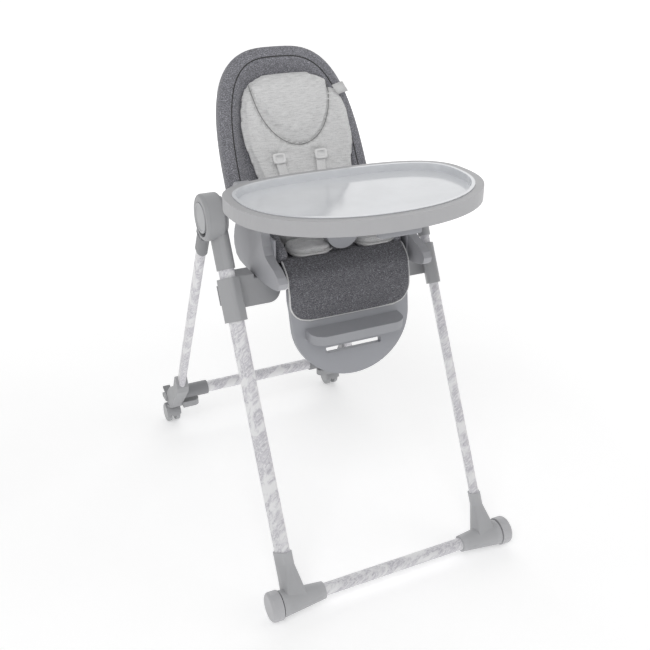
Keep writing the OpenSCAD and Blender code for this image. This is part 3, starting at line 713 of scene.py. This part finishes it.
def flap_binding(path):
    """Light binding sewn round the flap's two sides and its hem."""
    left, right = (flap_edge(path, side) for side in SIDES)
    hem = [left[-1].lerp(right[-1], k / 14) for k in range(1, 14)]
    binding = tube("flap_binding", left + hem + list(reversed(right)), 0.0019)
    bend_with_legrest(binding)
    paint(binding, thread(0.72))


# ---- Materials ----

class Shader:
    """Builds one node material step by step."""

    def __init__(self, name):
        self.material = bpy.data.materials.new(name)
        self.material.use_nodes = True
        self.tree = self.material.node_tree
        self.bsdf = self.tree.nodes["Principled BSDF"]
        self.place = self.node("ShaderNodeTexCoord").outputs["Object"]

    def node(self, kind, **settings):
        made = self.tree.nodes.new(kind)
        for key, value in settings.items():
            setattr(made, key, value)
        return made

    def link(self, source, target):
        self.tree.links.new(source, target)

    def feed(self, source, target):
        """Links an output to an input, or sets the input to a number or colour."""
        if hasattr(source, "links"):
            self.link(source, target)
        elif isinstance(source, tuple):
            target.default_value = (*source, 1)
        else:
            target.default_value = source

    def into(self, **sources):
        """Links outputs to the surface's inputs."""
        for key, source in sources.items():
            self.link(source, self.bsdf.inputs[key.replace("_", " ")])

    def set(self, **values):
        """Sets the surface's inputs."""
        for key, value in values.items():
            self.bsdf.inputs[key.replace("_", " ")].default_value = value

    def noise(self, scale, detail=3.0, rough=0.5, distortion=0.0, place=None):
        made = self.node("ShaderNodeTexNoise")
        made.inputs["Scale"].default_value = scale
        made.inputs["Detail"].default_value = detail
        made.inputs["Roughness"].default_value = rough
        made.inputs["Distortion"].default_value = distortion
        self.link(place or self.place, made.inputs["Vector"])
        return made.outputs["Fac"]

    def bands(self, scale, distortion, place=None):
        made = self.node("ShaderNodeTexWave", wave_type="BANDS", bands_direction="DIAGONAL")
        made.inputs["Scale"].default_value = scale
        made.inputs["Distortion"].default_value = distortion
        self.link(place or self.place, made.inputs["Vector"])
        return made

    def mapped(self, scale, rotation=(0, 0, 0)):
        made = self.node("ShaderNodeMapping")
        made.inputs["Scale"].default_value = scale
        made.inputs["Rotation"].default_value = rotation
        self.link(self.place, made.inputs["Vector"])
        return made.outputs["Vector"]

    def slanted(self, stretch, rotation):
        """Coordinates turned first and stretched after, so marks run at a slant."""
        made = self.node("ShaderNodeMapping", vector_type="TEXTURE")
        made.inputs["Scale"].default_value = [1 / k for k in stretch]
        made.inputs["Rotation"].default_value = rotation
        self.link(self.place, made.inputs["Vector"])
        return made.outputs["Vector"]

    def ramp(self, source, stops):
        made = self.node("ShaderNodeValToRGB")
        ramp = made.color_ramp
        while len(ramp.elements) < len(stops):
            ramp.elements.new(0.5)
        for element, (place, colour) in zip(ramp.elements, stops):
            element.position = place
            element.color = (*colour, 1)
        self.link(source, made.inputs["Fac"])
        return made.outputs["Color"]

    def greys(self, source, *stops):
        """A ramp through (place, grey level) stops."""
        return self.ramp(source, [(place, grey(level)) for place, level in stops])

    def range(self, source, **ends):
        """Maps a value from one range to another."""
        made = self.node("ShaderNodeMapRange")
        for key, value in ends.items():
            made.inputs[key.replace("_", " ")].default_value = value
        self.link(source, made.inputs["Value"])
        return made.outputs["Result"]

    def mix(self, factor, a, b, blend="MIX"):
        made = self.node("ShaderNodeMix", data_type="RGBA", blend_type=blend)
        for source, target in ((factor, 0), (a, 6), (b, 7)):
            self.feed(source, made.inputs[target])
        return made.outputs[2]

    def math(self, operation, a, b):
        made = self.node("ShaderNodeMath", operation=operation)
        for source, target in ((a, 0), (b, 1)):
            self.feed(source, made.inputs[target])
        return made.outputs[0]

    def bump(self, height, distance, strength):
        made = self.node("ShaderNodeBump")
        made.inputs["Distance"].default_value = distance
        made.inputs["Strength"].default_value = strength
        self.link(height, made.inputs["Height"])
        self.link(made.outputs["Normal"], self.bsdf.inputs["Normal"])


MADE = {}


def once(name, build):
    """Makes each material only the first time that it is asked for."""
    if name not in MADE:
        shader = Shader(name)
        build(shader)
        MADE[name] = shader.material
    return MADE[name]


def grey(value):
    return (value, value, value)


def cool_grey(value):
    return (value, value, value * 1.09)


def weave_height(s, size):
    """Crossed threads: two band textures multiplied."""
    waves = []
    for turn in (0.0, math.pi / 2):
        wave = s.bands(size, 1.2, s.mapped((1, 1, 1), (turn, turn, 0)))
        wave.inputs["Detail"].default_value = 1.5
        waves.append(wave.outputs["Fac"])
    return s.math("MULTIPLY", *waves)


# The level sets how light the cloth is; the flap's lower level makes a shaded copy, painted shade
def fabric_dark(name="dark_melange", level=3.0):
    """Dark melange weave: pale flecks between dark threads, and slubs that run across."""
    def build(s):
        fleck = s.noise(1, 2.0, 0.7, place=s.mapped((430, 430, 900)))
        slub = s.noise(1, 4.0, 0.65, place=s.mapped((150, 150, 900)))
        tones = ((0.34, 0.048), (0.50, 0.082), (0.60, 0.130), (0.74, 0.26))
        base = s.ramp(fleck, [(place, cool_grey(tone * level)) for place, tone in tones])
        lines = s.ramp(slub, [(0.35, (0.55, 0.55, 0.56)), (0.62, grey(1.0)), (0.75, grey(1.5))])
        s.into(Base_Color=s.mix(0.75, base, lines, "MULTIPLY"))
        s.bump(s.math("ADD", weave_height(s, 260), s.noise(480, 2.0)), 0.0006, 0.6)
        s.set(Roughness=0.93, Sheen_Weight=0.25, Sheen_Roughness=0.5, Specular_IOR_Level=0.15)
    return once(name, build)


def fabric_light(value=0.78):
    """Light melange weave with soft streaks across."""
    def build(s):
        slub = s.noise(1, 4.0, 0.6, place=s.mapped((70, 70, 620)))
        fleck = s.noise(520, 2.0, 0.6)
        base = s.greys(slub, (0.32, value * 0.80), (0.48, value * 0.94), (0.62, value * 1.02))
        spots = s.greys(fleck, (0.30, 0.80), (0.46, 1.0), (0.7, 1.04))
        s.into(Base_Color=s.mix(0.8, base, spots, "MULTIPLY"))
        s.bump(s.math("ADD", weave_height(s, 300), fleck), 0.0005, 0.5)
        s.set(Roughness=0.9, Sheen_Weight=0.2, Specular_IOR_Level=0.15)
    return once("light_melange", build)


def thread(value):
    """Twisted yarn of piping and binding."""
    def build(s):
        twist = s.noise(900, 1.0)
        s.into(Base_Color=s.greys(twist, (0.3, value * 0.75), (0.7, value * 1.1)))
        s.bump(twist, 0.0003, 0.5)
        s.set(Roughness=0.85)
    return once("thread_%02d" % round(value * 100), build)


def webbing_material(name="webbing_weave", value=0.84):
    """Ribbed webbing, a little uneven in tone."""
    def build(s):
        rib = s.bands(420, 0.6).outputs["Fac"]
        tone = s.greys(rib, (0.2, value * 0.88), (0.8, value * 1.05))
        dirt = s.greys(s.noise(40, 3.0), (0.35, 0.93), (0.6, 1.0))
        s.into(Base_Color=s.mix(1.0, tone, dirt, "MULTIPLY"))
        s.bump(rib, 0.0003, 0.5)
        s.set(Roughness=0.8, Specular_IOR_Level=0.25)
    return once(name, build)


def plastic(name, colour, rough, grain=1.0):
    """Moulded plastic: fine spark grain, faint mottling, and a painted highlight on convex edges."""
    def build(s):
        low = tuple(c * 0.965 for c in colour)
        high = tuple(min(1.0, c * 1.03) for c in colour)
        edge_highlight = tuple(min(1.0, c * 1.12 + 0.015) for c in colour)
        tone = s.ramp(s.noise(14, 4.0, 0.55), [(0.35, low), (0.65, high)])
        # Painted highlight: convex edges, found by pointiness, are mixed up to half way towards a lighter
        # copy of the colour.
        pointiness = s.node("ShaderNodeNewGeometry").outputs["Pointiness"]
        edge = s.greys(pointiness, (0.505, 0.0), (0.56, 1.0))
        s.into(Base_Color=s.mix(s.math("MULTIPLY", edge, 0.5), tone, edge_highlight))
        s.into(Roughness=s.range(s.noise(60, 3.0), To_Min=rough - 0.05, To_Max=rough + 0.07))
        s.bump(s.noise(1500, 2.0), 0.00006 * grain, 0.5)
    return once(name, build)


def printed_tube():
    """White satin tube with pale grey, marble-like brush marks at a slant."""
    def build(s):
        slant = (0.15, 0.85, 0.1)
        patch = s.noise(1.0, 3.0, 0.55, 0.5, place=s.slanted((42, 42, 11), slant))
        strokes = s.noise(1.0, 5.0, 0.68, 0.7, place=s.slanted((300, 300, 30), slant))
        veil = s.greys(patch, (0.40, 0.0), (0.50, 1.0))
        marks = s.ramp(strokes, [
            (0.36, (0.50, 0.49, 0.525)), (0.49, (0.62, 0.61, 0.645)), (0.60, (0.78, 0.775, 0.79)),
        ])
        s.into(Base_Color=s.mix(veil, (0.82, 0.82, 0.828), marks))
        s.into(Roughness=s.greys(strokes, (0.4, 0.42), (0.6, 0.30)))
        s.bump(s.noise(700, 2.0), 0.00004, 0.4)
        s.set(Coat_Weight=0.15, Coat_Roughness=0.2)
    return once("printed_tube", build)


def steel():
    """Drawn zinc-plated steel, streaked along X."""
    def build(s):
        streak = s.noise(1, 3.0, 0.6, place=s.mapped((40, 900, 900)))
        s.into(Base_Color=s.greys(streak, (0.3, 0.50), (0.7, 0.68)))
        s.into(Roughness=s.greys(streak, (0.3, 0.25), (0.7, 0.42)))
        s.bump(streak, 0.00004, 0.4)
        s.set(Metallic=1.0)
    return once("zinc_steel", build)


# Colour, roughness and, where it isn't full, depth of grain of each moulding
PLASTICS = {
    "housing_grey": ((0.355, 0.358, 0.368), 0.46),
    "socket_grey": ((0.255, 0.258, 0.268), 0.50),
    "button_grey": ((0.40, 0.405, 0.415), 0.34),
    "seat_grey": ((0.315, 0.321, 0.345), 0.48),
    # Painted light: the side arms are seat plastic, given a lighter grey for the light that falls on them
    "arm_grey_lit": ((0.385, 0.388, 0.41), 0.46),
    "foot_grey": ((0.435, 0.438, 0.45), 0.44),
    "wheel_grey": ((0.50, 0.50, 0.515), 0.40),
    "footrest_grey": ((0.30, 0.305, 0.325), 0.44),
    "tray_grey": ((0.395, 0.395, 0.405), 0.40),
    "tray_gloss": ((0.745, 0.76, 0.785), 0.10, 0.1),
    "harness_clip": ((0.80, 0.80, 0.80), 0.32, 0.2),
}
OTHER_FINISHES = {
    "printed_tube": printed_tube,
    "dark_fabric": fabric_dark,
    "light_fabric": fabric_light,
    "webbing": webbing_material,
    "steel": steel,
}
# Mouldings that differ a little in colour from the rest of their slot; the side arm's grey is the seat's
# plastic made lighter, painted light
SHADES = {"side_arm": "arm_grey_lit", "front_foot": "foot_grey", "front_wheel": "wheel_grey"}


def slot_material(slot):
    if slot in PLASTICS:
        return plastic(slot, *PLASTICS[slot])
    return OTHER_FINISHES[slot]()


def paint(obj, material):
    obj.data.materials.clear()
    obj.data.materials.append(material)


def paint_frame():
    for part in frame["record"]["subparts"]:
        node = part["node"]
        shades = [shade for stem, shade in SHADES.items() if stem in node]
        paint(NODES[node], slot_material(shades[0] if shades else part["material_slot"]))


# ---- Floor, light and camera ----

def floor():
    """White studio floor that glows faintly, more so away from the chair."""
    size = 60.0
    corners = [(-size, -size, 0), (size, -size, 0), (size, size, 0), (-size, size, 0)]
    plane = mesh_object("floor", corners, [(0, 1, 2, 3)])
    s = Shader("floor_white")
    s.into(Base_Color=s.greys(s.noise(3, 2.0), (0.3, 0.89), (0.7, 0.91)))
    s.set(Roughness=0.7, Specular_IOR_Level=0.1, Emission_Color=(1, 1, 1, 1))
    reach = s.node("ShaderNodeVectorMath", operation="LENGTH")
    s.link(s.place, reach.inputs[0])
    glow = s.range(reach.outputs["Value"], From_Min=0.8, From_Max=5.0, To_Min=0.31, To_Max=0.62)
    s.into(Emission_Strength=glow)
    paint(plane, s.material)


def area_light(name, place, size, power):
    """A round soft light aimed at the chair's middle."""
    data = bpy.data.lights.new(name, "AREA")
    data.shape = "DISK"
    data.size = size
    data.energy = power
    lamp = bpy.data.objects.new(name, data)
    lamp.location = place
    aim = Vector((0, 0, 0.6)) - Vector(place)
    lamp.rotation_euler = aim.to_track_quat("-Z", "Y").to_euler()
    bpy.context.scene.collection.objects.link(lamp)


def light():
    area_light("key", (-1.6, -2.2, 3.2), 2.4, 34)
    area_light("fill", (2.6, -1.4, 2.0), 2.4, 10)
    area_light("back", (1.6, 3.6, 2.2), 5.0, 52)
    world = bpy.data.worlds.new("studio")
    world.use_nodes = True
    background = world.node_tree.nodes["Background"]
    background.inputs["Color"].default_value = (1.0, 1.0, 1.0, 1)
    background.inputs["Strength"].default_value = 0.5
    bpy.context.scene.world = world


def camera():
    """Slightly raised view from the front left."""
    azimuth, elevation, distance = math.radians(-25.5), math.radians(25.8), 1.9037
    target = Vector((-0.0033, -0.0791, 0.4456))
    away = Vector((
        math.sin(azimuth) * math.cos(elevation),
        -math.cos(azimuth) * math.cos(elevation),
        math.sin(elevation),
    ))
    data = bpy.data.cameras.new("camera")
    data.lens = 48.39
    data.sensor_width = 36
    data.dof.use_dof = False
    view = bpy.data.objects.new("camera", data)
    view.location = target + away * distance
    view.rotation_euler = (-away).to_track_quat("-Z", "Y").to_euler()
    bpy.context.scene.collection.objects.link(view)
    bpy.context.scene.camera = view
    bpy.context.scene.view_settings.view_transform = "Standard"


def pair(make, node):
    """Makes a left and a right piece and hides the CAD node of both."""
    left, _ = [make(side) for side in SIDES]
    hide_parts(node)


def build():
    paint_frame()
    back_cover()
    back_piping()
    reducer_cushion()
    reducer_head()
    reducer_tag()
    pair(shoulder_strap, "shoulder_straps")
    pair(adjuster, "strap_adjusters")
    seat_cushion()
    pair(thigh_pad, "thigh_pads")
    for side in SIDES:
        hip_pad(side)
        seat_bolster(side)
    pair(waist_strap, "waist_straps")
    buckle_web()
    calf_flap()
    floor()
    light()
    camera()


build()
